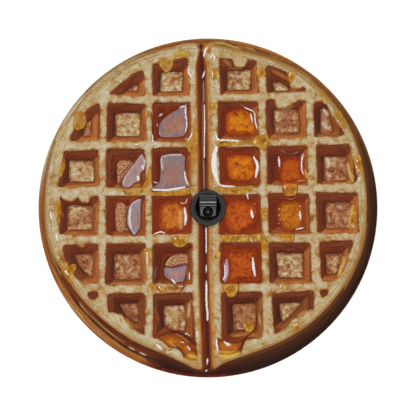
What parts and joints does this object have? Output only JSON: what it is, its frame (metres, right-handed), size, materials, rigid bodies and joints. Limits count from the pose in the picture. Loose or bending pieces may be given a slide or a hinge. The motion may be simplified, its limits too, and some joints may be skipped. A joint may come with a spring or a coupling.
{
  "type": "spare wheel cover",
  "caption": "Fitted round cover for a rear spare wheel, printed with a syrupy waffle, with a reversing camera in its centre hole and an elastic mouth behind.",
  "frame": {"origin": "centre of the circle that the cover rests on, at the height of its lowest face", "axes": "+Z out of the printed face, up as modelled; +Y towards the top of the print and of the camera; +X to the right of the print"},
  "size_m": [0.8124, 0.8124, 0.249],
  "materials": {
    "printed_vinyl": "satin coated cloth with a full-colour print of a waffle",
    "side_vinyl": "satin coated cloth printed in baked-crust browns",
    "black_plastic": "fine-grained moulded plastic",
    "grey_plastic": "satin moulded plastic",
    "lens_glass": "dark coated lens, polished"
  },
  "bodies": {
    "root": {"front_panel": "printed_vinyl", "side_band": "side_vinyl", "back_flap": "side_vinyl", "camera_bezel": "black_plastic", "camera_barrel": "black_plastic", "lock_ring": "black_plastic", "cable_socket": "black_plastic", "camera_hood": "black_plastic", "camera_face": "grey_plastic", "face_screw_left": "grey_plastic", "face_screw_right": "grey_plastic", "lens_ring": "black_plastic", "lens_glass": "lens_glass"}
  },
  "joints": []
}
